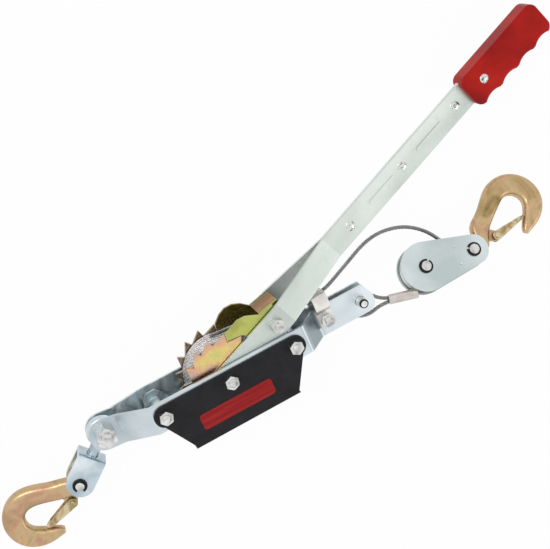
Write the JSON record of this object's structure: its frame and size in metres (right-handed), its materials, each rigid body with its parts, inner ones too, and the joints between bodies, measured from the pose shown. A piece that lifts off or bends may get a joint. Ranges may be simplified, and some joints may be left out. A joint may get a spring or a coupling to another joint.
{
  "type": "come along winch",
  "caption": "Hand cable puller: two-plate frame with a ratchet drum and guard, forked ratchet handle with a red grip, clevis hook, steel cable and a pulley block with a load hook",
  "frame": {"origin": "On the drum's axis, at the rear face of the drum axle's bolt head, which is on the plane that the winch lies on.", "axes": "+X along the side plates from the anchor hook's end to the cable's end, +Y to the side where the handle stands, +Z out of the front side plate along the drum's axis."},
  "size_m": [0.7108, 0.2816, 0.074],
  "materials": {
    "side_plate_zinc": "satin bright zinc",
    "strap_zinc": "satin bright zinc",
    "clevis_zinc": "satin bright zinc",
    "block_zinc": "satin bright zinc",
    "bright_fasteners": "bright zinc",
    "yellow_chromate": "yellow chromate",
    "hook_chromate": "yellow chromate",
    "latch_zinc": "pale chromate",
    "black_guard": "satin black",
    "red_label": "smooth",
    "red_grip": "smooth vinyl",
    "wire_cable": "stranded wire",
    "ferrule_aluminium": "satin",
    "black_clips": "black oxide",
    "sheave_zinc": "zinc"
  },
  "bodies": {
    "frame": {"front_side_plate": "side_plate_zinc", "rear_side_plate": "side_plate_zinc", "drum_guard": "black_guard", "label_plate": "red_label", "frame_bolts": "bright_fasteners", "frame_nuts": "bright_fasteners", "frame_spacers": "bright_fasteners", "drum_axle_sleeve": "bright_fasteners", "end_bolt": "bright_fasteners", "end_nut": "bright_fasteners", "stop_bracket": "strap_zinc", "bracket_bolt": "bright_fasteners", "bracket_nut": "bright_fasteners", "bracket_spacer": "bright_fasteners", "anchor_pin": "bright_fasteners", "anchor_pin_ring": "black_clips", "cable": "wire_cable", "cable_eye": "wire_cable", "ferrule": "ferrule_aluminium"},
    "drum": {"front_ratchet_wheel": "yellow_chromate", "rear_ratchet_wheel": "yellow_chromate", "drum_core": "yellow_chromate", "drum_rivets": "bright_fasteners", "cable_on_drum": "wire_cable"},
    "handle": {"front_handle_strap": "strap_zinc", "rear_handle_strap": "strap_zinc", "handle_rivets": "bright_fasteners", "grip": "red_grip", "grip_fastener": "bright_fasteners", "pawl_bolts": "bright_fasteners", "pawl_nuts": "bright_fasteners"},
    "drive_pawl": {"drive_pawl": "yellow_chromate"},
    "holding_pawl": {"holding_pawl": "yellow_chromate"},
    "swivel": {"swivel_eye": "clevis_zinc"},
    "clevis": {"clevis": "clevis_zinc", "clevis_pin": "bright_fasteners", "clevis_clips": "black_clips"},
    "anchor_hook": {"anchor_hook": "hook_chromate", "anchor_latch_pin": "latch_zinc"},
    "anchor_latch": {"anchor_latch": "latch_zinc", "anchor_latch_spring": "latch_zinc"},
    "block": {"block_front_plate": "block_zinc", "block_rear_plate": "block_zinc", "sheave_pin": "bright_fasteners", "hook_pin": "bright_fasteners", "block_clips": "black_clips"},
    "sheave": {"sheave": "sheave_zinc"},
    "load_hook": {"load_hook": "hook_chromate", "load_latch_pin": "latch_zinc"},
    "load_latch": {"load_latch": "latch_zinc", "load_latch_spring": "latch_zinc"}
  },
  "joints": [
    {"name": "handle_swing", "type": "hinge", "parent": "frame", "child": "handle", "pos_m": [0, 0, 0.0353], "axis": [0, 0, 1], "range_deg": [0, 90]},
    {"name": "drum_spin", "type": "hinge", "parent": "frame", "child": "drum", "pos_m": [0, 0, 0.0353], "axis": [0, 0, 1], "range_deg": [0, 90]},
    {"name": "drive_pawl_lift", "type": "hinge", "parent": "handle", "child": "drive_pawl", "pos_m": [0.0656, 0.02717, 0.0353], "axis": [0, 0, -1], "range_deg": [0, 15]},
    {"name": "holding_pawl_drop", "type": "hinge", "parent": "frame", "child": "holding_pawl", "pos_m": [-0.0725, 0, 0.0353], "axis": [0, 0, 1], "range_deg": [0, 11]},
    {"name": "swivel_turn", "type": "hinge", "parent": "frame", "child": "swivel", "pos_m": [-0.1315, 0.005, 0.0353], "axis": [0, 0, 1], "range_deg": [-40, 50]},
    {"name": "clevis_swivel", "type": "hinge", "parent": "swivel", "child": "clevis", "pos_m": [-0.1315, 0.005, 0.0353], "axis": [-0.7272, -0.6663, -0.165], "continuous": true},
    {"name": "anchor_hook_tilt", "type": "hinge", "parent": "clevis", "child": "anchor_hook", "pos_m": [-0.17382, -0.03378, 0.02569], "axis": [-0.2043, -0.0195, 0.9787], "range_deg": [-50, 50]},
    {"name": "anchor_latch_open", "type": "hinge", "parent": "anchor_hook", "child": "anchor_latch", "pos_m": [-0.18985, -0.05169, 0.02199], "axis": [0.2043, 0.0195, -0.9787], "range_deg": [0, 28]},
    {"name": "block_travel", "type": "slide", "parent": "frame", "child": "block", "axis": [1, 0, 0], "range_m": [0, 0.06], "deforming": ["cable"]},
    {"name": "sheave_spin", "type": "hinge", "parent": "block", "child": "sheave", "pos_m": [0.2331, -0.0043, 0.0363], "axis": [0.0751, 0.4634, 0.8829], "continuous": true},
    {"name": "load_hook_tilt", "type": "hinge", "parent": "block", "child": "load_hook", "pos_m": [0.28759, -0.01313, 0.0363], "axis": [0.0751, 0.4634, 0.8829], "range_deg": [-50, 50]},
    {"name": "load_latch_open", "type": "hinge", "parent": "load_hook", "child": "load_latch", "pos_m": [0.32066, -0.01285, 0.03334], "axis": [0.0751, 0.4634, 0.8829], "range_deg": [0, 35]}
  ],
  "couplings": [
    {"joint": "drum_spin", "follows": "handle_swing", "ratio": 1}
  ]
}
